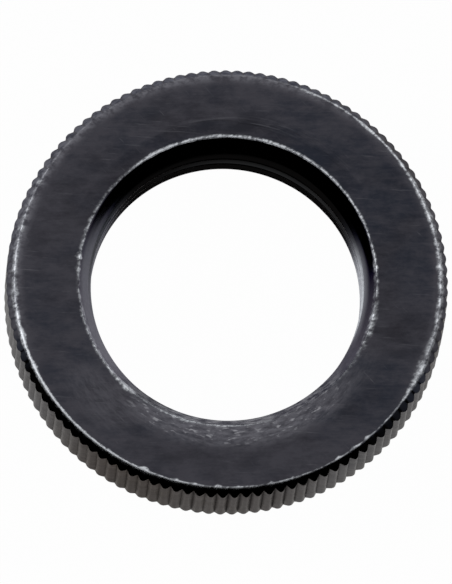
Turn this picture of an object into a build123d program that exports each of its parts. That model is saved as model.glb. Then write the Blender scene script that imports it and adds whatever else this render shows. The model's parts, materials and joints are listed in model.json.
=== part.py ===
"""Choke cable nut: a thin round nut with a straight knurl, turned from one steel bar.

The nut lies flat. The origin is the centre of the face it rests on, and +Z is the axis of its thread.
"""

from build123d import *
from math import atan2, degrees, radians, sin, sqrt, tan
import os

# Driving dimensions, in millimetres and degrees
knurl_diameter = 24.3  # over the crests of the teeth, which rolling raised above the 24 mm bar
thickness = 5.0
tooth_count = 117
groove_angle = 90.0  # the full angle of the V between two teeth
crest_width = 0.13  # between the flanks
crest_radius = 0.16  # the crest is crowned, and the valley is sharp
rim_chamfer_width = 0.44  # taken off the radius of each face
rim_chamfer_height = 0.60  # taken off the height of each crest
thread_diameter = 16.0
thread_pitch = 1.0
thread_depth_share = 0.5413  # of the pitch, as on any metric thread
countersink_diameter = 16.4  # just wider than the thread, so the face edge stays a clean circle
upper_countersink_angle = 45.0  # steep, so the thread starts lower at this end
lower_countersink_angle = 90.0

# The turned section
knurl_radius = knurl_diameter / 2
face_radius = knurl_radius - rim_chamfer_width
bore_radius = thread_diameter / 2 - thread_depth_share * thread_pitch  # where the thread's crests lie
countersink_radius = countersink_diameter / 2
countersink_width = countersink_radius - bore_radius
upper_countersink_depth = countersink_width / tan(radians(upper_countersink_angle / 2))
lower_countersink_depth = countersink_width / tan(radians(lower_countersink_angle / 2))

# One tooth, centred on +X. Its crest is a shallow arc with a corner at each end, and its two flanks are
# straight. The nut's centre, the corner and the valley make a triangle, and the law of sines gives the valley.
half_pitch = 180 / tooth_count
crown_height = crest_radius - sqrt(crest_radius**2 - (crest_width / 2) ** 2)
corner = Vector(knurl_radius - crown_height, crest_width / 2)
corner_turn = degrees(atan2(corner.Y, corner.X))
angle_at_corner = groove_angle / 2 - half_pitch + corner_turn
valley_radius = corner.length * sin(radians(angle_at_corner)) / sin(radians(groove_angle / 2))
valley = Vector(valley_radius, 0).rotate(Axis.Z, half_pitch)


def knurled_bar():
    """A length of bar with V grooves all round, cut off at the nut's thickness."""
    crest = ThreePointArc((corner.X, -corner.Y), (knurl_radius, 0), corner)
    flank = Line(corner, valley)
    other_flank = Line((valley.X, -valley.Y), crest @ 0)
    tooth = [other_flank, crest, flank]
    turns = [Rot(Z=2 * half_pitch * place) for place in range(tooth_count)]
    outline = [turn * edge for turn in turns for edge in tooth]
    return extrude(make_face(outline), thickness)


def turned_blank():
    """The shape that the lathe leaves: faces, rim chamfers, countersinks and the bore.

    Each rim chamfer runs on outwards past the crests, and the two meet at mid height. So the chamfers
    cut across the teeth, and the teeth alone make the rim between them.
    """
    mid_height = thickness / 2
    past_crests = face_radius + mid_height * rim_chamfer_width / rim_chamfer_height
    section = Polyline(
        (bore_radius, 0, lower_countersink_depth),
        (countersink_radius, 0, 0),
        (face_radius, 0, 0),
        (past_crests, 0, mid_height),
        (face_radius, 0, thickness),
        (countersink_radius, 0, thickness),
        (bore_radius, 0, thickness - upper_countersink_depth),
        close=True,
    )
    return revolve(make_face(section), Axis.Z)


nut = knurled_bar() & turned_blank()

tooth_depth = knurl_radius - valley_radius
bore_length = thickness - upper_countersink_depth - lower_countersink_depth
print(f"teeth {tooth_count}, {tooth_depth:.3f} mm deep")
print(f"bore {2 * bore_radius:.2f} mm, {bore_length:.2f} mm long, from {lower_countersink_depth:.2f} mm up")

os.makedirs("parts", exist_ok=True)
export_step(nut, "parts/choke_cable_nut.step")
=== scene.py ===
import json
from math import cos, pi, radians, sin, sqrt, tan

import bmesh
import bpy
import numpy as np
from mathutils import Matrix, Vector


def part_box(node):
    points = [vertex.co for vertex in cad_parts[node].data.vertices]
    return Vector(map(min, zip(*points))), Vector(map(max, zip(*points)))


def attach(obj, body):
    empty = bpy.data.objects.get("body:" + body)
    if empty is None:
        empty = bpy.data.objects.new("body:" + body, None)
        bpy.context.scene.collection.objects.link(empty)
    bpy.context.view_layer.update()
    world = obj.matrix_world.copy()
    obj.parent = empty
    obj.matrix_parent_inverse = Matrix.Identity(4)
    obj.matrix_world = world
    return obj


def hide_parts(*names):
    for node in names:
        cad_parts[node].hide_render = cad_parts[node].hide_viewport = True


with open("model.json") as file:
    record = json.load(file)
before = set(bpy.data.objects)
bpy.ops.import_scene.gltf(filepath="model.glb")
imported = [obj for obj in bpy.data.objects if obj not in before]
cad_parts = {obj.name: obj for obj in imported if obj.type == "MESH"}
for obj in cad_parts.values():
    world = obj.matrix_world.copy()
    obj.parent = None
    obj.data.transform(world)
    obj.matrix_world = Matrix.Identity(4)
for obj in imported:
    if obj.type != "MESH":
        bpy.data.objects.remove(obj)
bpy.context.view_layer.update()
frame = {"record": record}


# The rim of the nut: a slice of steel bar with a straight knurl rolled into it, then faced and
# chamfered at both ends. Each chamfer cuts across the teeth, low in the valleys and high on the
# crests. Lengths are in metres and turns in radians from +X, except in tables that say otherwise.

mm = 0.001
low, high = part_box("choke_cable_nut")
thickness = high.z - low.z
half_thickness = thickness / 2
knurl_radius = high.x
rim_chamfer_width = 0.44 * mm  # taken off the radius of each face
rim_chamfer_height = 0.60 * mm  # taken off the height of each crest
face_radius = knurl_radius - rim_chamfer_width

tooth_count = 117
tooth_pitch = 2 * pi / tooth_count
groove_angle = radians(90)
crest_roundness = 0.20 * mm
points_on_crest = 7


def knurl_outline():
    """Turn and radius of each point round the knurl, ten to a tooth.

    A crest is a small arc, and each flank runs straight from its end, square to the arc's radius
    there. Two flanks meet in a valley, half a pitch from either crest. The nut's centre, the end of
    the arc and the valley make a triangle, whose law of sines gives the valley's radius.
    """
    facing = pi / 2 - groove_angle / 2 + tooth_pitch / 2
    arc = np.linspace(-facing, facing, points_on_crest)
    x = knurl_radius - crest_roundness + crest_roundness * np.cos(arc)
    y = crest_roundness * np.sin(arc)
    end = np.array([x[-1], y[-1]])
    angle_at_end = groove_angle / 2 - tooth_pitch / 2 + np.arctan2(end[1], end[0])
    valley_radius = np.hypot(*end) * sin(angle_at_end) / sin(groove_angle / 2)
    valley = valley_radius * np.array([cos(tooth_pitch / 2), sin(tooth_pitch / 2)])
    middle = (end + valley) / 2
    middle_turn = np.arctan2(middle[1], middle[0])
    turn = np.r_[np.arctan2(y, x), middle_turn, tooth_pitch / 2, tooth_pitch - middle_turn]
    radius = np.r_[np.hypot(x, y), np.hypot(*middle), valley_radius, np.hypot(*middle)]
    first_turns = tooth_pitch * np.arange(tooth_count)[:, None]
    return (first_turns + turn).ravel(), np.tile(radius, tooth_count)


def bell(away, reach, power=2):
    """A share, 1 where "away" is 0 and fading out past the reach: e to -(away / reach)^power."""
    return np.exp(-((away / reach) ** power))


def from_turn(turn, middle):
    """How far each turn is from a middle one in degrees, the shorter way round, in radians."""
    return (turn - radians(middle) + pi) % (2 * pi) - pi


def near_turn(turn, middle, reach):
    """A flat-topped bell round the nut, from its middle turn and its reach each way, in degrees."""
    return bell(from_turn(turn, middle), radians(reach), 4)


def round_the_nut(turn, levels, changes):
    """Values that change round the nut: each is its level, plus the changes near their own turns.

    A row of changes holds the turn of its middle and its reach, in degrees, and what it adds to
    each value. It adds that times the flat-topped bell of near_turn.
    """
    values = np.multiply.outer(levels, np.ones_like(turn))
    for middle, reach, *amounts in changes:
        values += np.multiply.outer(amounts, near_turn(turn, middle, reach))
    return values


def wander(turn, waves, seed):
    """An uneven value round the nut, about -1 to 1: a sum of sines with random sizes and starts."""
    random = np.random.default_rng(seed)
    size = random.normal(size=len(waves)) / sqrt(len(waves))
    start = random.uniform(0, 2 * pi, len(waves))
    return sum(a * np.sin(n * turn + s) for a, n, s in zip(size, waves, start))


usual_tooth_depth = 0.70  # as a share of the full depth
tooth_depth_changes = [
    (-60, 28, 0.20),  # the teeth are deepest in front, to its right
    (14, 38, -0.22),  # shallow at the right
    (184, 20, -0.49),  # almost rubbed away at the left
    (-138, 24, -0.18),  # and rather shallow at the left front
]


def uneven(turn, radius):
    """The knurl's radius with its teeth as unevenly deep as the rolling and the wear left them.

    The depth under the crests is multiplied by a share that changes round the nut and wanders.
    """
    (share,) = round_the_nut(turn, [usual_tooth_depth], tooth_depth_changes)
    share += 0.05 * wander(turn, range(20, 58, 3), 31)
    return knurl_radius - (knurl_radius - radius) * np.clip(share, 0.16, 1)


rim_turn, tooth_radius = knurl_outline()
tooth_radius = uneven(rim_turn, tooth_radius)

# Bruises on the upper face's outer edge: turn in degrees, length along the edge and size in mm
rim_bruises = [
    (-105, 0.50, 0.10),
    (-96, 0.30, 0.05),
    (-91, 0.30, 0.04),
    (-84.5, 0.35, 0.09),
    (-79, 0.15, 0.03),
    (-70, 0.20, 0.05),
    (-64, 0.12, 0.04),
    (-116, 0.20, 0.04),
    (-124, 0.14, 0.03),
    (-147, 0.50, 0.06),
    (-156, 0.60, 0.06),
    (-168, 0.40, 0.05),
    (174, 0.50, 0.06),
    (160, 0.40, 0.05),
    (-16.5, 1.10, 0.04),
    (57, 1.20, 0.05),
    (75, 1.00, 0.04),
    (-26, 0.35, 0.03),
    (-41, 0.40, 0.07),
    (-45.5, 0.55, 0.08),
    (-50.5, 0.30, 0.08),
    (12, 0.40, 0.05),
    (27, 0.30, 0.04),
]


def bruised(turn, bruises):
    """Sum of small bumps round the nut: each bruise's size times a bell along the edge."""
    total = np.zeros_like(turn)
    for place, length, size in bruises:
        along_edge = from_turn(turn, place) * face_radius
        total += size * mm * bell(along_edge, length * mm / 2)
    return total


def chamfer_depth(radius):
    """Depth of a rim chamfer's cone under its face: it grows evenly outwards from the face."""
    return (radius - face_radius) * rim_chamfer_height / rim_chamfer_width


def moved(places, direction, distance):
    """Places, as rows of radius and depth, moved in a direction, all as far or each by its own."""
    return places + np.outer(direction, np.broadcast_to(distance, places.shape[1]))


def rounded_corner(before, corner, after, steps):
    """Points round a corner from one place to another, as an array of steps by one place's shape.

    They lie on the parabola that leaves "before" towards the corner and comes into "after" from it.
    """
    share = np.linspace(0, 1, steps).reshape((steps,) + (1,) * np.ndim(corner))
    return (1 - share) ** 2 * before + 2 * share * (1 - share) * corner + share**2 * after


def rim_end(seed, bruises):
    """Radius and depth of one end of the rim, from the flat face to the knurl, row after row.

    Depth is measured from that face. Over each turn the profile is the face, a worn corner, the
    chamfer's cone, a corner where it meets the tooth, and the tooth. The worn corner is wider at
    both sides than in front and behind, its size wanders, and it is widest at the bruises.
    """
    along_face, along_tooth = np.array([1, 0]), np.array([0, 1])
    down_cone = np.array([rim_chamfer_width, rim_chamfer_height])
    down_cone /= np.hypot(*down_cone)
    wear = 0.125 + 0.010 * np.cos(rim_turn) ** 2 + 0.016 * wander(rim_turn, range(3, 150, 5), seed)
    wear = np.clip(wear * mm + 0.3 * bruised(rim_turn, bruises), 0.03 * mm, 0.23 * mm)
    edge = np.stack([np.full_like(rim_turn, face_radius), np.zeros_like(rim_turn)])
    face_side = moved(edge, -along_face, wear)
    cone_side = moved(edge, down_cone, wear)
    worn_tooth_end = 0.03 * mm
    tooth_end = np.stack([tooth_radius, chamfer_depth(tooth_radius)])
    before_end = moved(tooth_end, -down_cone, worn_tooth_end)
    after_end = moved(tooth_end, along_tooth, worn_tooth_end)
    halfway_down = (tooth_end[1] + half_thickness) / 2
    rows = [
        moved(edge, -along_face, 0.45 * mm),
        moved(edge, -along_face, 0.26 * mm),
        *rounded_corner(face_side, edge, cone_side, 6),
        cone_side * 0.6 + before_end * 0.4,
        cone_side * 0.2 + before_end * 0.8,
        *rounded_corner(before_end, tooth_end, after_end, 4),
        moved(tooth_end, along_tooth, 0.10 * mm),
        np.stack([tooth_radius, halfway_down]),
    ]
    return np.array(rows).transpose(1, 0, 2)


upper_radius, upper_depth = rim_end(seed=4, bruises=rim_bruises)
lower_radius, lower_depth = rim_end(seed=9, bruises=[])
middle_height = np.full((1, len(rim_turn)), half_thickness)
rim_radius = np.vstack([upper_radius, tooth_radius[None], lower_radius[::-1]])
rim_height = np.vstack([thickness - upper_depth, middle_height, lower_depth[::-1]])


# The hole: tapped right through the steel with a fine right-hand thread, after both ends were
# countersunk, the upper one more steeply. The cones cut the thread's first turn away, so each
# face's edge stays a clean circle.

thread_mount = next(mount for mount in frame["record"]["mounts"] if mount["name"] == "thread")
thread_pitch = 1.0 * mm
thread_crest = thread_mount["dims"]["r_mm"] * mm  # the radius of the CAD's plain bore
thread_root = thread_crest + 0.541 * thread_pitch
root_flat = thread_pitch / 8
flank_rise = 1 / tan(radians(30))  # change of radius for each length along the bore
thread_start = 0.17  # how far the thread is turned round from +X, as a share of a turn
thread_runs_out = (1.1 * mm, 1.9 * mm)  # it deepens from nothing to full between these depths
countersink_radius = 8.20 * mm
upper_cone = radians(22.5)  # between the cone and the hole's axis
lower_cone = radians(45)
hole_columns = len(rim_turn) // 3
hole_turn = 2 * pi * np.arange(hole_columns) / hole_columns


def ramp(value, start, end):
    """A share that rises evenly from 0 where the value is "start" to 1 where it is "end"."""
    return np.clip((value - start) / (end - start), 0, 1)


def thread_radius(along):
    """Radius of the thread at a share of its pitch from a root, counted either way.

    It is the root's flat, then a flank at 30 degrees to the hole's radius, then the crest's flat.
    """
    from_root = np.abs((along + 0.5) % 1 - 0.5) * thread_pitch
    on_flank = thread_root - (from_root - root_flat / 2) * flank_rise
    return np.clip(on_flank, thread_crest, thread_root)


def hole_wall():
    """Radius and height of the threaded wall, between the places where the cones meet its roots.

    Each row follows the helix, so that the rows stay on the thread's corners. A row past either end
    is held there, and its points fall together. The radius is the thread's or the cone's, whichever
    is more, and the thread runs out under the upper face.
    """
    root_to_crest = np.array([0, 0.045, 0.08, 0.15, 0.22, 0.29, 0.335, 0.37, 0.43, 0.5])
    pitch_rows = np.r_[root_to_crest, 1 - root_to_crest[-2:0:-1]]
    spare_turns = 2
    turns_of_thread = int(np.ceil(thickness / thread_pitch)) + spare_turns + 1
    rows = (np.arange(turns_of_thread)[:, None] + pitch_rows).ravel()
    helix = hole_turn / (2 * pi) + thread_start
    lip = countersink_radius - thread_root
    lowest, highest = lip / tan(lower_cone), thickness - lip / tan(upper_cone)
    height = np.clip((rows[:, None] + helix - spare_turns) * thread_pitch, lowest, highest)
    cut_in = np.minimum(height * tan(lower_cone), (thickness - height) * tan(upper_cone))
    deepened = ramp(thickness - height, *thread_runs_out)
    thread_depth = thread_radius(height / thread_pitch - helix) - thread_crest
    radius = np.maximum(thread_crest + thread_depth * deepened, countersink_radius - cut_in)
    return radius, height, len(pitch_rows)


# Bruises on the upper countersink's edge, given as those on the rim are
hole_bruises = [
    (-124, 0.40, 0.06),
    (179, 0.35, 0.12),
    (-176, 0.25, 0.06),
    (-99.5, 0.70, 0.10),
    (128, 0.50, 0.05),
    (112, 0.40, 0.03),
    (14, 0.35, 0.07),
    (-6, 0.30, 0.06),
    (-12, 0.25, 0.04),
]


def countersink_end(cone, seed, bruises):
    """Radius and depth of one end of the hole, from the flat face down the cone to the wall.

    Over each turn the profile is the face, a worn corner whose size wanders, and the cone.
    """
    along_face, down_cone = np.array([1, 0]), np.array([-sin(cone), cos(cone)])
    wear = (0.065 + 0.014 * wander(hole_turn, range(3, 70, 3), seed)) * mm
    wear = np.clip(wear + bruised(hole_turn, bruises), 0.03 * mm, 0.18 * mm)
    edge = np.stack([np.full_like(hole_turn, countersink_radius), np.zeros_like(hole_turn)])
    face_side = moved(edge, along_face, wear)
    cone_side = moved(edge, down_cone, wear)
    out_from_edge = [2.9, 2.2, 1.6, 1.3, 1.15, 1.0, 0.85, 0.7, 0.5, 0.35, 0.2]
    face_rows = [moved(edge, along_face, out * mm) for out in out_from_edge]
    past_wear = 0.20 * mm
    to_wall = (countersink_radius - thread_root) / sin(cone) - past_wear
    cone_rows = [moved(edge, down_cone, past_wear + part * to_wall) for part in (0, 0.3, 0.6)]
    rows = [
        *face_rows,
        *rounded_corner(face_side, edge, cone_side, 5),
        cone_side * 0.6 + cone_rows[0] * 0.4,
        *cone_rows,
    ]
    return np.array(rows).transpose(1, 0, 2)


wall_radius, wall_height, rows_in_pitch = hole_wall()
top_radius, top_depth = countersink_end(upper_cone, seed=21, bruises=hole_bruises)
foot_radius, foot_depth = countersink_end(lower_cone, seed=22, bruises=[])


# The nut: rim, faces and hole are one piece of steel, so they are put together as one closed skin.
# The rim has three columns for each one of the hole, and they meet in a ring of triangles on each
# flat face.


def ring_points(radius, turn, height):
    """Places of a grid of points: x and y are the radius times the turn's cosine and sine."""
    x, y = radius * np.cos(turn), radius * np.sin(turn)
    return np.stack([x, y, height], axis=-1).reshape(-1, 3)


def skin_of_quads(rows, columns, first=0, step=0):
    """Quads of a grid closed on itself. Past the last column, a row joins the one "step" on."""
    row, column = np.mgrid[0 : rows - 1, 0:columns]
    following = (column + 1) % columns
    shift = np.where(column == columns - 1, step, 0)
    lower_right = np.clip(row + shift, 0, rows - 1)
    upper_right = np.clip(row + 1 + shift, 0, rows - 1)
    quads = np.stack(
        [
            row * columns + column,
            lower_right * columns + following,
            upper_right * columns + following,
            (row + 1) * columns + column,
        ],
        axis=-1,
    )
    return (first + quads).reshape(-1, 4).tolist()


def ring_of_triangles(coarse_first, fine_first):
    """Triangles between a ring of the hole's columns and a ring of the rim's, three to one."""
    near = coarse_first + np.arange(hole_columns)
    after = coarse_first + (np.arange(hole_columns) + 1) % hole_columns
    fine = [fine_first + (3 * np.arange(hole_columns) + k) % len(rim_turn) for k in range(4)]
    fans = [(near, fine[0], fine[1]), (near, fine[1], fine[2]), (near, fine[2], after)]
    fans += [(after, fine[2], fine[3])]
    return np.vstack([np.stack(fan, axis=-1) for fan in fans]).tolist()


rim_points = ring_points(rim_radius, rim_turn, rim_height)
top_points = ring_points(top_radius, hole_turn, thickness - top_depth)
wall_points = ring_points(wall_radius[::-1], hole_turn, wall_height[::-1])
foot_points = ring_points(foot_radius[::-1], hole_turn, foot_depth[::-1])
points = np.vstack([rim_points, top_points, wall_points, foot_points])

hole_first = len(rim_points)
wall_first = hole_first + len(top_points)
foot_first = wall_first + len(wall_points)
last_ring_of_rim = hole_first - len(rim_turn)
last_ring_of_hole = len(points) - hole_columns

faces = skin_of_quads(len(rim_radius), len(rim_turn))
faces += skin_of_quads(len(top_radius) + 1, hole_columns, hole_first)
faces += skin_of_quads(len(wall_radius), hole_columns, wall_first, -rows_in_pitch)
faces += skin_of_quads(len(foot_radius) + 1, hole_columns, foot_first - hole_columns)
faces += ring_of_triangles(hole_first, 0)
faces += ring_of_triangles(last_ring_of_hole, last_ring_of_rim)

same_place = 0.0005 * mm
nut_mesh = bpy.data.meshes.new("choke_cable_nut_finished")
nut_mesh.from_pydata(points.tolist(), [], faces)
weld = bmesh.new()
weld.from_mesh(nut_mesh)
bmesh.ops.remove_doubles(weld, verts=weld.verts, dist=same_place)
bmesh.ops.dissolve_degenerate(weld, edges=weld.edges, dist=same_place)
bmesh.ops.recalc_face_normals(weld, faces=weld.faces)
weld.to_mesh(nut_mesh)
weld.free()
nut_mesh.shade_smooth()
nut_mesh.set_sharp_from_angle(angle=radians(42))

nut = bpy.data.objects.new("choke_cable_nut_finished", nut_mesh)
bpy.context.scene.collection.objects.link(nut)
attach(nut, "root")
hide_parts("choke_cable_nut")


# The wear and the painted light: use has worn the nut's black oxide off its edges and scuffed
# it in front of the hole. Painted shade darkens the hole, the chamfer in front and the knurl's
# grooves, and painted highlights and reflections lighten edges and the hole at the sides. Each
# kind is a share for every point of the skin, stored in the mesh for the finish to read.

# The worn line along the outer edge of the upper face: how strong it is, and how far it reaches
# over the chamfer and over the face, in mm
rim_line = (0.95, 0.16, 0.08)
rim_line_changes = [
    (12, 29, -0.17, 0.24, 0.10),  # wide and dull at the right
    (175, 27, -0.17, 0.24, 0.10),  # and at the left
    (178, 26, -0.14, 0, 0),
    (58, 24, 0.18, -0.05, 0),  # thin and whole at the upper right
    (116, 44, -0.60, 0, 0),  # faint behind
    (-126, 34, 0.85, -0.04, 0),  # bright at the left front
    (-43, 21, -0.08, -0.09, -0.03),  # thin at the lower right
    (-16, 8, 0, 0.10, 0.17),  # spread wide at the right front as a painted highlight
    (-13, 9, -0.25, 0, 0),
]

# The worn line along the upper countersink's edge: how strong it is on the cone and on the face,
# and how far it reaches over each of them, in mm
hole_line = (1.1, 1.1, 0.11, 0.08)
hole_line_changes = [
    (213, 34, -0.26, -0.48, 0.50, 0),  # wide and dull at the left
    (214, 26, 0, 0, 0, 0.07),
    (170, 28, -0.40, -0.40, 0, 0.14),
    (-8, 26, -0.45, -0.45, 0.42, 0),  # wide and duller at the right
    (-12, 22, 0, 0, 0, 0.18),
    (6, 8, -0.12, -0.12, 0, 0),
    (100, 45, 0, 0, 0, 0.03),  # bright behind
    (92, 45, 0.15, 0.15, 0, 0),
    (129, 5, 0.35, 0.35, 0, 0),
    (150, 13, -0.26, -0.26, 0, 0),
    (-43, 30, -0.68, -0.68, 0, 0),  # hardly there at the right front
    (-86, 18, -0.12, -0.12, 0, 0),  # a little faint in front
    (-114, 7, -0.40, -0.40, 0, 0),  # then a faint and a bright stretch to its left
    (-124.5, 5, 0.55, 0.55, 0, 0),
    (-125, 7, 0, 0, 0.05, 0.05),
]
level_with_face = 0.01 * mm  # a point less deep than this counts as on the upper face


def worn_steel_and_highlight(radius, turn, height):
    """How far the oxide is worn off, from 0 for whole to 1.8 for bare steel with no gap.

    From each edge of the upper face it falls off as a bell: its strength times e to the
    -(distance / reach)^2. Both grow with the bruises. A dull painted highlight lies at the hole's
    right front.
    """
    at_bruise = bruised(turn, rim_bruises)
    strength, over_chamfer, over_face = round_the_nut(turn, rim_line, rim_line_changes)
    outside = radius > face_radius
    reach = np.where(outside, over_chamfer, over_face) * mm
    reach += np.where(outside, 0.3, 1.2) * at_bruise
    from_rim = np.hypot(radius - face_radius, height - thickness)
    rim = (strength + 5 * at_bruise / mm) * bell(from_rim, reach)

    at_bruise = bruised(turn, hole_bruises)
    values = round_the_nut(turn, hole_line, hole_line_changes)
    on_cone, on_face, over_cone, over_face = values
    below_face = height < thickness - level_with_face
    reach = np.where(below_face, over_cone, over_face) * mm + 0.9 * at_bruise
    strength = np.where(below_face, on_cone, on_face) + 5 * at_bruise / mm
    from_hole = np.hypot(radius - countersink_radius, height - thickness)
    hole = strength * bell(from_hole, reach)
    # A painted highlight at the hole's right front
    painted_highlight_at_hole = 0.25 * near_turn(turn, -19, 16) * bell(from_hole, 0.40 * mm)
    return np.clip(rim + hole + painted_highlight_at_hole, 0, 1.8)


def polished_thread_and_painted_highlight(radius, turn, height):
    """How far bare steel shows in the hole, 0 to 1: most at the thread's crests.

    At the right the crests show it plainly, as a painted highlight; behind, one crest is slightly
    polished where the sleeve was screwed in. At the left the cone is dull with a painted reflection
    too, least by its edge.
    """
    in_thread = (height < thickness - 0.25 * mm) & (height > 0.3 * mm)
    by_crest = ramp(thread_root - radius, 0.2 * mm, 0.5 * mm)
    # Painted highlight: bare steel at the right, where the right lamp mirrors in the thread's
    # flanks
    at_right = 0.42 * near_turn(turn, 6, 20)
    one_crest = 0.03 * near_turn(turn, 75, 50) * bell(height - 1.95 * mm, 0.25 * mm)
    inside_edge = ramp(countersink_radius - radius, 0.05 * mm, 0.27 * mm)
    # Painted reflection: a dull sheen on the left cone
    at_left = 0.18 * near_turn(turn, 199, 38) * inside_edge
    return in_thread * by_crest * (at_right + one_crest) + at_left


def scuffed_patch(radius, turn, height):
    """The lighter, scuffed patch in front of the hole, 0 to 1. It takes in the countersink's lip.

    It is a flat-topped bell both round the nut and across the face. A fainter one lies beyond it,
    at the left front.
    """
    down_to_lip = ramp(height, thickness - 2.2 * mm, thickness - 1.85 * mm)
    patch = near_turn(turn, -78, 47) * bell(radius - 8.30 * mm, 1.10 * mm, 4)
    beyond = 0.32 * near_turn(turn, -128, 13) * bell(radius - 9.7 * mm, 1.1 * mm, 4)
    return down_to_lip * np.maximum(patch, beyond)


def softly_over(value, edge, blur):
    """A share that rises from 0 to 1 past the edge: 1 / (1 + e^((edge - value) / blur))."""
    return 1 / (1 + np.exp((edge - value) / blur))


def rim_tone_and_painted_light(radius, turn, height):
    """Where the rim is lighter (over 0) or darker (under 0) than elsewhere, by oxide and painted
    light.

    The chamfer's oxide is lighter behind, but for the tips of its teeth. At both sides the chamfer
    is painted lighter as a reflection of the lamps there, and in front and at the left front it is
    painted dark as shade. The bottoms of the knurl's grooves are darkened by painted shade, least
    in front.
    """
    depth = thickness - height
    by_chamfer = (depth < 0.65 * mm) * softly_over(radius, face_radius - 0.25 * mm, 0.13 * mm)
    tips = 0.35 * ramp(radius - face_radius, 0.10 * mm, 0.35 * mm)
    behind = near_turn(turn, 115, 70) * (1 - tips)
    # Painted reflection: the chamfer is lighter at both sides, where the lamps stand
    painted_reflection_at_sides = 0.45 * near_turn(turn, 184, 26) + 0.40 * near_turn(turn, 6, 30)
    on_cone = np.abs(depth - chamfer_depth(radius)) < 0.02 * mm
    on_cone &= radius > face_radius + 0.05 * mm
    # Painted shade: the chamfer's cone is dark in front and at the left front
    painted_shade_in_front = 0.8 * near_turn(turn, -80, 70) + 0.5 * near_turn(turn, -138, 16)
    on_knurl = np.minimum(height, depth) > chamfer_depth(radius) - 0.005 * mm
    on_knurl &= radius > face_radius
    # Painted shade in the bottoms of the knurl's grooves, least in front
    from_valley = (turn / tooth_pitch % 1 - 0.5) * tooth_pitch * knurl_radius
    painted_shade_in_grooves = bell(from_valley, 0.07 * mm) * (0.50 - 0.27 * near_turn(turn, -90, 62))
    return by_chamfer * (behind + painted_reflection_at_sides) - on_cone * painted_shade_in_front - on_knurl * painted_shade_in_grooves


# Lighter and darker places on the upper face: turn and reach in degrees, radius and width in mm,
# and how much lighter they are
face_places = [
    (-38, 13, 9.9, 0.8, -0.08),
    (-127, 11, 9.4, 0.7, 0.03),
    (-32, 12, 8.7, 0.5, 0.06),
]


def light_face(radius, turn):
    """Where the upper face's oxide is lighter or darker, as for the rim.

    It is darker at the right and inside the tool mark behind the hole, lighter near the rim in
    front, and changes at each of the places above by a bell both round the nut and across the face.
    """
    inside_mark = near_turn(turn, 100, 60) * (1 - softly_over(radius, 9.1 * mm, 0.03 * mm))
    at_right = near_turn(turn, 0, 50) + near_turn(turn, 45, 30)
    near_rim = near_turn(turn, -85, 65) * ramp(radius, 10.1 * mm, 10.9 * mm)
    light = 0.05 - 0.06 * at_right - 0.17 * inside_mark + 0.06 * near_rim
    for middle, reach, place, width, amount in face_places:
        light += amount * near_turn(turn, middle, reach) * bell(radius - place * mm, width * mm)
    return light


def painted_shade_in_hole(radius, turn):
    """How much painted shade darkens the hole.

    It is dark on its far side, more so under the upper lip, and a little at the left front.
    """
    # Painted shade: darkest on the far wall, more under the upper lip, a little at the left front
    painted_shade_under_lip = 0.35 * near_turn(turn, 84, 105) * ramp(radius, 7.75 * mm, 7.87 * mm)
    painted_hole_shade = near_turn(turn, 92, 67) + painted_shade_under_lip + 0.35 * near_turn(turn, -120, 20)
    return (radius < face_radius - 2 * mm) * painted_hole_shade


def oxide_tone_and_painted_light(radius, turn, height):
    """Oxide tone and painted light: on the rim, and on the face, fading into the hole."""
    upper = ramp(height, thickness - 0.25 * mm, thickness)
    face_and_hole = upper * light_face(radius, turn) - (1 - upper) * painted_shade_in_hole(radius, turn)
    return rim_tone_and_painted_light(radius, turn, height) + face_and_hole


def tool_mark(radius, turn, height):
    """Where the facing tool left its last rings: a band behind the hole that fades out each way."""
    band = bell(radius - 9.20 * mm, 0.26 * mm, 4)
    return band * near_turn(turn, 84, 30) * (height > thickness - level_with_face)


def knurl_tone(turn):
    """How light the knurl is: lightest on both sides of the front, darkest a little left of it."""
    changes = [(-38, 26, 0.55), (-155, 24, 0.55), (-110, 15, -0.40)]
    return round_the_nut(turn, [0.45], changes)[0]


places = np.empty(3 * len(nut_mesh.vertices))
nut_mesh.vertices.foreach_get("co", places)
x, y, z = places.reshape(-1, 3).T
radius, turn = np.hypot(x, y), np.arctan2(y, x)
for name, amount in (
    ("worn_and_highlight", worn_steel_and_highlight(radius, turn, z)),
    ("polish_and_painted_highlight", polished_thread_and_painted_highlight(radius, turn, z)),
    ("patch", scuffed_patch(radius, turn, z)),
    ("painted_light_and_tone", oxide_tone_and_painted_light(radius, turn, z)),
    ("mark", tool_mark(radius, turn, z)),
    ("tone", knurl_tone(turn)),
    ("inside", ramp(countersink_radius - radius, -0.1 * mm, 0)),
):
    stored = nut_mesh.attributes.new(name, "FLOAT", "POINT")
    stored.data.foreach_set("value", amount.astype(np.float32))

# Places with the radius in place of the height, for scuffs that follow the nut's own circles
on_circles = np.stack([x, y, radius], axis=-1).astype(np.float32)
stored = nut_mesh.attributes.new("circles", "FLOAT_VECTOR", "POINT")
stored.data.foreach_set("vector", on_circles.ravel())


# The finish: black oxide, a thin dark skin grown on bright steel in a hot bath. It mirrors a
# little, so it is treated as a dark metal, with clouds, scratches and scuffs, and steel shows
# through where edges and high spots are worn. Painted shade and painted highlights are laid into
# its colour too.

oxide_dark = (0.021, 0.0205, 0.0255, 1)
oxide_dark_blue = (0.018, 0.0205, 0.029, 1)
oxide_light = (0.044, 0.043, 0.052, 1)
# Almost black: for the tool's dark rings, and for painted shade
near_black_and_painted_shade = (0.0030, 0.0028, 0.0028, 1)
oxide_scuffed = (0.120, 0.119, 0.136, 1)
scratch_grey = (0.16, 0.16, 0.175, 1)
nick_grey = (0.23, 0.23, 0.25, 1)
bare_steel = (0.50, 0.52, 0.55, 1)
grazing_tint_dark = (0.55, 0.515, 0.475, 1)
grazing_tint_light = (0.72, 0.705, 0.685, 1)
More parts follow.
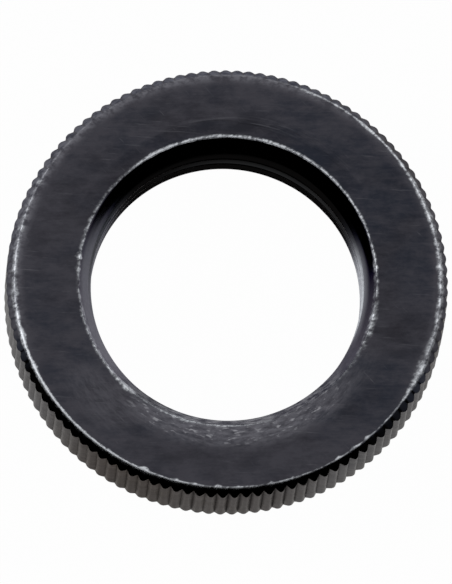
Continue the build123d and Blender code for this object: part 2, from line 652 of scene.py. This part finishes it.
# The grazing tint where shade is painted
grazing_tint_painted_shade = (0.06, 0.05, 0.05, 1)
grazing_tint_by_hole = (0.62, 0.60, 0.66, 1)
grazing_tint_scuffed = (0.34, 0.34, 0.37, 1)
grazing_tint_scraped = (0.75, 0.75, 0.78, 1)
grazing_tint_behind = (0.52, 0.54, 0.60, 1)

finish = bpy.data.materials.new("black_oxide_on_steel")
finish.use_nodes = True
nut_mesh.materials.append(finish)
nodes = finish.node_tree.nodes
links = finish.node_tree.links
shader = nodes["Principled BSDF"]


def node(kind, inputs, output=0, **settings):
    """Adds a node to the finish and gives the output with that place or name.

    An input is given by its place or name, as a value or as another node's output.
    """
    made = nodes.new(kind)
    for setting, value in settings.items():
        setattr(made, setting, value)
    for socket, value in inputs.items():
        if isinstance(value, bpy.types.NodeSocket):
            links.new(value, made.inputs[socket])
        else:
            made.inputs[socket].default_value = value
    return made.outputs[output]


def added(first, second):
    """The sum of two values."""
    return node("ShaderNodeMath", {0: first, 1: second}, operation="ADD")


def multiplied(first, second):
    """The product of two values."""
    return node("ShaderNodeMath", {0: first, 1: second}, operation="MULTIPLY")


def greater(first, second):
    """The greater of two values."""
    return node("ShaderNodeMath", {0: first, 1: second}, operation="MAXIMUM")


def blended(factor, first, second):
    """A colour between two, by a factor from 0 to 1."""
    return node("ShaderNodeMix", {0: factor, 6: first, 7: second}, 2, data_type="RGBA")


def spread(value, low_end, high_end, low_to=0.0, high_to=1.0):
    """The value's range from low_end to high_end, stretched smoothly to another range."""
    ends = {"From Min": low_end, "From Max": high_end, "To Min": low_to, "To Max": high_to}
    return node("ShaderNodeMapRange", {"Value": value, **ends}, interpolation_type="SMOOTHSTEP")


def read(name, output):
    """A number or a vector that the mesh carries under that name."""
    return node("ShaderNodeAttribute", {}, output, attribute_name=name)


position = node("ShaderNodeTexCoord", {}, "Object")
circles = read("circles", "Vector")
worn_and_highlight = read("worn_and_highlight", "Fac")
polish_and_painted_highlight = read("polish_and_painted_highlight", "Fac")
patch = read("patch", "Fac")
painted_light_and_tone = read("painted_light_and_tone", "Fac")
mark = read("mark", "Fac")
tone = read("tone", "Fac")
inside = read("inside", "Fac")


def noise(vector, lying, detail, roughness):
    """Noise with features one unit across, on a vector measured in the given grains."""
    grains = node("ShaderNodeMapping", {"Vector": vector, **lying}, vector_type="TEXTURE")
    fineness = {"Scale": 1, "Detail": detail, "Roughness": roughness}
    return node("ShaderNodeTexNoise", {"Vector": grains, **fineness})


def face_noise(length, width, angle, offset, detail, roughness):
    """Noise in grains lying at one angle on the face. Lengths are in mm, the angle in degrees."""
    lying = {
        "Location": (offset * mm, offset * mm, 0),
        "Rotation": (0, 0, radians(angle)),
        "Scale": (length * mm, width * mm, width * mm),
    }
    return noise(position, lying, detail, roughness)


def circle_noise(length, width, offset, detail, roughness):
    """Noise in grains that lie along the nut's circles. The first three values are in mm."""
    lying = {
        "Location": (offset * mm, offset * mm, 0),
        "Scale": (length * mm, length * mm, width * mm),
    }
    return noise(circles, lying, detail, roughness)


scratch_angle = 9
cloud = face_noise(1.6, 0.8, scratch_angle, 3, 5, 0.7)
blotch = face_noise(0.55, 0.40, scratch_angle, 7, 4, 0.65)
speckle = face_noise(0.30, 0.20, scratch_angle, 1, 3, 0.6)
brushed = face_noise(1.6, 0.17, scratch_angle, 2, 4, 0.6)
long_scratch = face_noise(2.4, 0.12, 5, 11, 3, 0.6)
cross_scratch = face_noise(1.3, 0.12, -38, 17, 3, 0.6)
scuffs = circle_noise(0.60, 0.20, 5, 4, 0.65)
nicks = circle_noise(0.50, 0.17, 23, 2, 0.6)
rings = circle_noise(3.0, 0.10, 31, 3, 0.6)
breaks = face_noise(0.34, 0.14, 52, 27, 2, 0.5)
broad = face_noise(4.5, 3.0, scratch_angle, 41, 2, 0.5)

# Colour of the oxide: clouds and fine brushing, then the worn rim with its sides painted lighter
# as a reflection, the scuffed patch, scratches, nicks, the tool's rings and the painted shade,
# each over those before
lightness = added(spread(cloud, 0.28, 0.72, -0.05, 0.80), spread(brushed, 0.25, 0.75, 0.0, 0.26))
# The shares of tone and painted light lighten and darken the oxide
lightness = added(lightness, multiplied(painted_light_and_tone, 2.5))
dark = blended(spread(broad, 0.35, 0.65), oxide_dark, oxide_dark_blue)
oxide = blended(lightness, dark, oxide_light)
# The worn rim, and its sides painted lighter as a reflection of the lamps
rim_wear_and_painted_reflection = multiplied(spread(painted_light_and_tone, 0, 1), spread(blotch, 0.34, 0.66, 0.05, 1.25))
oxide = blended(rim_wear_and_painted_reflection, oxide, oxide_scuffed)
oxide = blended(multiplied(patch, spread(scuffs, 0.3, 0.7, 0.18, 0.95)), oxide, oxide_scuffed)
long_lines = spread(long_scratch, 0.62, 0.80, 0, 0.26)
cross_lines = spread(cross_scratch, 0.66, 0.82, 0, 0.24)
oxide = blended(greater(long_lines, cross_lines), oxide, scratch_grey)
patch_marks = multiplied(spread(nicks, 0.56, 0.72), spread(patch, 0.3, 0.9))
oxide = blended(patch_marks, oxide, nick_grey)
oxide = blended(multiplied(mark, spread(rings, 0.46, 0.34, 0, 0.6)), oxide, near_black_and_painted_shade)
oxide = blended(multiplied(mark, spread(rings, 0.54, 0.72, 0, 0.24)), oxide, scratch_grey)
# Painted shade: where the share of tone and painted light falls below 0, the oxide is almost black
oxide = blended(spread(painted_light_and_tone, -0.15, -0.8), oxide, near_black_and_painted_shade)

# Bare steel: the worn lines, blotchy and broken except where they are strongest, and the thread.
# The bare steel at the hole's sides and at the edges' right front is a painted highlight.
blotches = added(spread(blotch, 0.30, 0.68, 0.45, 1.0), spread(speckle, 0.35, 0.65, -0.12, 0.22))
steel_share = spread(multiplied(worn_and_highlight, blotches), 0.18, 0.95)
unbroken = greater(spread(breaks, 0.36, 0.56, 0.35, 1.0), spread(worn_and_highlight, 1.0, 1.5))
steel_share = multiplied(steel_share, unbroken)
colour = blended(greater(steel_share, polish_and_painted_highlight), oxide, bare_steel)
links.new(colour, shader.inputs["Base Color"])
shader.inputs["Metallic"].default_value = 1.0

# The oxide's tint at a grazing view, which is what the knurl in front shows most of
tint = blended(tone, grazing_tint_dark, grazing_tint_light)
tint = blended(inside, tint, grazing_tint_by_hole)
tint = blended(spread(painted_light_and_tone, 0.2, 0.9), tint, grazing_tint_behind)
scuffed = blended(spread(scuffs, 0.36, 0.66), grazing_tint_scuffed, grazing_tint_scraped)
tint = blended(spread(patch, 0.1, 0.6), tint, scuffed)
# Painted shade mirrors almost nothing at a grazing view either
tint = blended(spread(painted_light_and_tone, -0.15, -0.8), tint, grazing_tint_painted_shade)
links.new(tint, shader.inputs["Specular Tint"])

roughness = added(spread(brushed, 0.3, 0.75, 0.34, 0.44), spread(painted_light_and_tone, -0.8, -0.15, -0.14, 0))
links.new(roughness, shader.inputs["Roughness"])
surface = added(multiplied(brushed, 0.5), multiplied(speckle, 0.5))
bump = node("ShaderNodeBump", {"Height": surface, "Strength": 0.5, "Distance": 0.012 * mm})
links.new(bump, shader.inputs["Normal"])


# The floor: a plain white sheet, wide enough to reach the horizon in every view. The camera and
# every reflection see it as plain white with a faint shadow, as in a studio.

floor_half = 3.0
floor_mesh = bpy.data.meshes.new("floor")
floor_signs = ((-1, -1), (1, -1), (1, 1), (-1, 1))
floor_corners = [(side * floor_half, end * floor_half, low.z) for side, end in floor_signs]
floor_mesh.from_pydata(floor_corners, [], [(0, 1, 2, 3)])
floor = bpy.data.objects.new("floor", floor_mesh)
bpy.context.scene.collection.objects.link(floor)


def seen_or_mirrored(tree):
    """A factor of 1 for rays from the camera and for mirrored or refracted ones, else 0."""
    path = tree.nodes.new("ShaderNodeLightPath")
    total = path.outputs["Is Camera Ray"]
    for kind in ("Is Glossy Ray", "Is Transmission Ray"):
        either = tree.nodes.new("ShaderNodeMath")
        either.operation = "MAXIMUM"
        tree.links.new(total, either.inputs[0])
        tree.links.new(path.outputs[kind], either.inputs[1])
        total = either.outputs[0]
    return total


paper = bpy.data.materials.new("pale_floor")
paper.use_nodes = True
paper_tree = paper.node_tree
paper_shader = paper_tree.nodes["Principled BSDF"]
paper_shader.inputs["Base Color"].default_value = (0.80, 0.80, 0.80, 1)
paper_shader.inputs["Roughness"].default_value = 0.9
plain_white = paper_tree.nodes.new("ShaderNodeEmission")
plain_white.inputs["Color"].default_value = (1, 1, 1, 1)
white_share = paper_tree.nodes.new("ShaderNodeMath")
white_share.operation = "MULTIPLY"
white_share.inputs[1].default_value = 0.985
paper_tree.links.new(seen_or_mirrored(paper_tree), white_share.inputs[0])
both = paper_tree.nodes.new("ShaderNodeMixShader")
paper_tree.links.new(white_share.outputs[0], both.inputs[0])
paper_tree.links.new(paper_shader.outputs[0], both.inputs[1])
paper_tree.links.new(plain_white.outputs[0], both.inputs[2])
paper_tree.links.new(both.outputs[0], paper_tree.nodes["Material Output"].inputs["Surface"])
floor_mesh.materials.append(paper)


# The light: a white tent all round, and two soft boxes, one on each side and a little behind the
# nut. A black card stands in front of the nut, just out of the picture, and keeps its near side
# dark.


def soft_box(name, direction, distance, width, height, radiance):
    """A rectangular lamp facing the nut from a direction. Its radiance is how bright it looks."""
    lamp = bpy.data.lights.new(name, "AREA")
    lamp.shape = "RECTANGLE"
    lamp.size = width
    lamp.size_y = height
    lamp.energy = radiance * pi * width * height
    holder = bpy.data.objects.new(name, lamp)
    towards = Vector(direction).normalized()
    holder.location = Vector((0, 0, half_thickness)) + towards * distance
    holder.rotation_euler = towards.to_track_quat("Z", "Y").to_euler()
    holder.visible_camera = False
    bpy.context.scene.collection.objects.link(holder)


soft_box("soft_box_left", (-0.85, 0.16, 0.50), distance=0.8, width=0.7, height=0.30, radiance=2.6)
soft_box("soft_box_right", (0.78, 0.43, 0.45), distance=0.8, width=0.9, height=0.30, radiance=1.2)

card_half, card_top, card_place = 30 * mm, 16 * mm, -20 * mm
card_corners = [
    (-card_half, card_place, low.z),
    (card_half, card_place, low.z),
    (card_half, card_place, card_top),
    (-card_half, card_place, card_top),
]
card_mesh = bpy.data.meshes.new("black_card")
card_mesh.from_pydata(card_corners, [], [(0, 1, 2, 3)])
card = bpy.data.objects.new("black_card", card_mesh)
bpy.context.scene.collection.objects.link(card)
card_black = bpy.data.materials.new("card_black")
card_black.use_nodes = True
card_shader = card_black.node_tree.nodes["Principled BSDF"]
card_shader.inputs["Base Color"].default_value = (0.01, 0.01, 0.01, 1)
card_shader.inputs["Roughness"].default_value = 1.0
card_mesh.materials.append(card_black)
card.visible_camera = False
card.visible_diffuse = False
card.visible_shadow = False

world = bpy.data.worlds.new("studio")
bpy.context.scene.world = world
world.use_nodes = True
world_tree = world.node_tree
ambient = world_tree.nodes["Background"]
ambient.inputs["Color"].default_value = (0.9, 0.93, 1.0, 1)
ambient.inputs["Strength"].default_value = 0.10
tent = world_tree.nodes.new("ShaderNodeBackground")
tent.inputs["Color"].default_value = (1, 1, 1, 1)
choice = world_tree.nodes.new("ShaderNodeMixShader")
world_tree.links.new(seen_or_mirrored(world_tree), choice.inputs[0])
world_tree.links.new(ambient.outputs[0], choice.inputs[1])
world_tree.links.new(tent.outputs[0], choice.inputs[2])
world_tree.links.new(choice.outputs[0], world_tree.nodes["World Output"].inputs["Surface"])


# The camera: a metre away with a long lens, looking steeply down and turned a little in its own
# plane. Its angles and scale were fitted to the outlines of the rim and the hole.

picture_width, picture_height = 452, 584
camera_distance = 1.0
mm_per_pixel = 1 / 18.21
camera_tilt = radians(14.78)
camera_roll = radians(8.69)
camera_round = radians(-0.35)
face_centre_pixel = (227.10, 280.22)
sensor = 36  # it spans the picture's height

level = Vector((cos(camera_round), sin(camera_round), 0))
back = Vector(
    (sin(camera_round) * sin(camera_tilt), -cos(camera_round) * sin(camera_tilt), cos(camera_tilt))
)
upright = back.cross(level)
right = cos(camera_roll) * level + sin(camera_roll) * upright
up = back.cross(right)
offset_right = (face_centre_pixel[0] - (picture_width - 1) / 2) * mm_per_pixel * mm
offset_down = (face_centre_pixel[1] - (picture_height - 1) / 2) * mm_per_pixel * mm
aim = Vector((0, 0, thickness)) - offset_right * right + offset_down * up

camera = bpy.data.cameras.new("camera")
camera.sensor_width = sensor
camera.lens = sensor / (picture_height * mm_per_pixel * mm) * camera_distance
camera.clip_start = 0.01
camera.clip_end = 20
camera_holder = bpy.data.objects.new("camera", camera)
looking = Matrix((right, up, back)).transposed().to_4x4()
camera_holder.matrix_world = Matrix.Translation(aim + back * camera_distance) @ looking
bpy.context.scene.collection.objects.link(camera_holder)
bpy.context.scene.camera = camera_holder

bpy.context.scene.view_settings.view_transform = "Standard"
